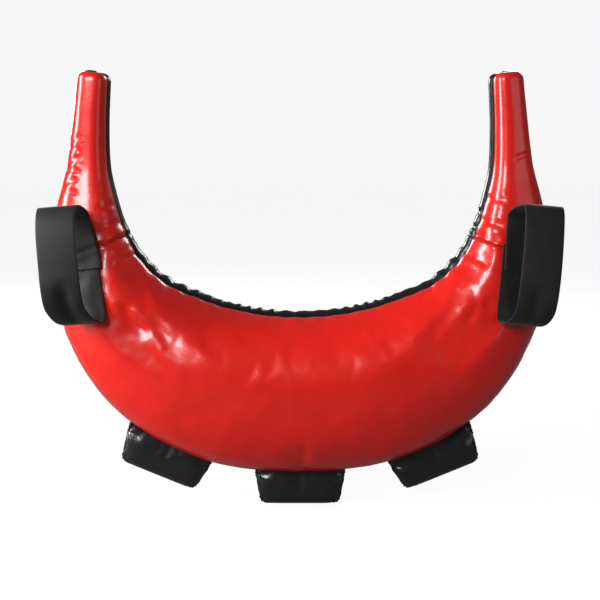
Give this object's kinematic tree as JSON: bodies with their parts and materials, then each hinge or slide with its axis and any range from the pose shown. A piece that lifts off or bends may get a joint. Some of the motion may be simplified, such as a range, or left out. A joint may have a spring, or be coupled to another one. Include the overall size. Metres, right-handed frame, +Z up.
{
  "type": "crescent training bag",
  "caption": "Stuffed crescent training bag with two gripping horns, a red and a black face, webbing hand loops on the red face and padded tabs along the outer seam.",
  "frame": {"origin": "on the plane of symmetry, at the free edge of the middle tab, which is the lowest place of the upright bag; the seam between the two faces lies in the plane Y = 0", "axes": "+Z up towards the horn tips; +X to the right when the red face is looked at; -Y out of the red face, +Y out of the black face"},
  "size_m": [0.6126, 0.1756, 0.5488],
  "materials": {
    "red_leather": "glossy coated leather",
    "black_leather": "glossy coated leather",
    "webbing": "smooth woven webbing",
    "thread": "sewing thread",
    "canvas": "plain canvas",
    "wadding": "needled wadding",
    "sand_sack": "filled cloth sack",
    "foam": "soft foam"
  },
  "bodies": {
    "bag": {"red_belly_panel": "red_leather", "red_left_horn_panel": "red_leather", "red_right_horn_panel": "red_leather", "black_belly_panel": "black_leather", "black_left_horn_panel": "black_leather", "black_right_horn_panel": "black_leather", "liner_bag": "canvas", "belly_wadding": "wadding", "left_horn_core": "wadding", "right_horn_core": "wadding", "middle_sand_sack": "sand_sack", "left_sand_sack": "sand_sack", "right_sand_sack": "sand_sack", "left_loop_anchor": "webbing", "left_loop_stitching": "thread", "right_loop_anchor": "webbing", "right_loop_stitching": "thread", "left_tab_flange": "black_leather", "middle_tab_flange": "black_leather", "right_tab_flange": "black_leather"},
    "left_hand_loop": {"left_hand_strap": "webbing"},
    "right_hand_loop": {"right_hand_strap": "webbing"},
    "left_tab": {"left_tab_pad": "foam", "left_tab_front_cover": "black_leather", "left_tab_back_cover": "red_leather"},
    "middle_tab": {"middle_tab_pad": "foam", "middle_tab_front_cover": "black_leather", "middle_tab_back_cover": "red_leather"},
    "right_tab": {"right_tab_pad": "foam", "right_tab_front_cover": "black_leather", "right_tab_back_cover": "red_leather"}
  },
  "joints": [
    {"name": "left_loop_swing", "type": "hinge", "parent": "bag", "child": "left_hand_loop", "pos_m": [-0.26477, -0.0466, 0.31431], "axis": [-0.0791, 0.1798, 0.9805], "range_deg": [-20, 20]},
    {"name": "right_loop_swing", "type": "hinge", "parent": "bag", "child": "right_hand_loop", "pos_m": [0.26477, -0.0466, 0.31431], "axis": [0.0791, 0.1798, 0.9805], "range_deg": [-20, 20]},
    {"name": "left_tab_bend", "type": "hinge", "parent": "bag", "child": "left_tab", "pos_m": [-0.16818, 0, 0.07745], "axis": [0.9199, 0, -0.3921], "range_deg": [-60, 60]},
    {"name": "middle_tab_bend", "type": "hinge", "parent": "bag", "child": "middle_tab", "pos_m": [0, 0, 0.0425], "axis": [1, 0, 0], "range_deg": [-60, 60]},
    {"name": "right_tab_bend", "type": "hinge", "parent": "bag", "child": "right_tab", "pos_m": [0.16818, 0, 0.07745], "axis": [0.9199, 0, 0.3921], "range_deg": [-60, 60]}
  ]
}
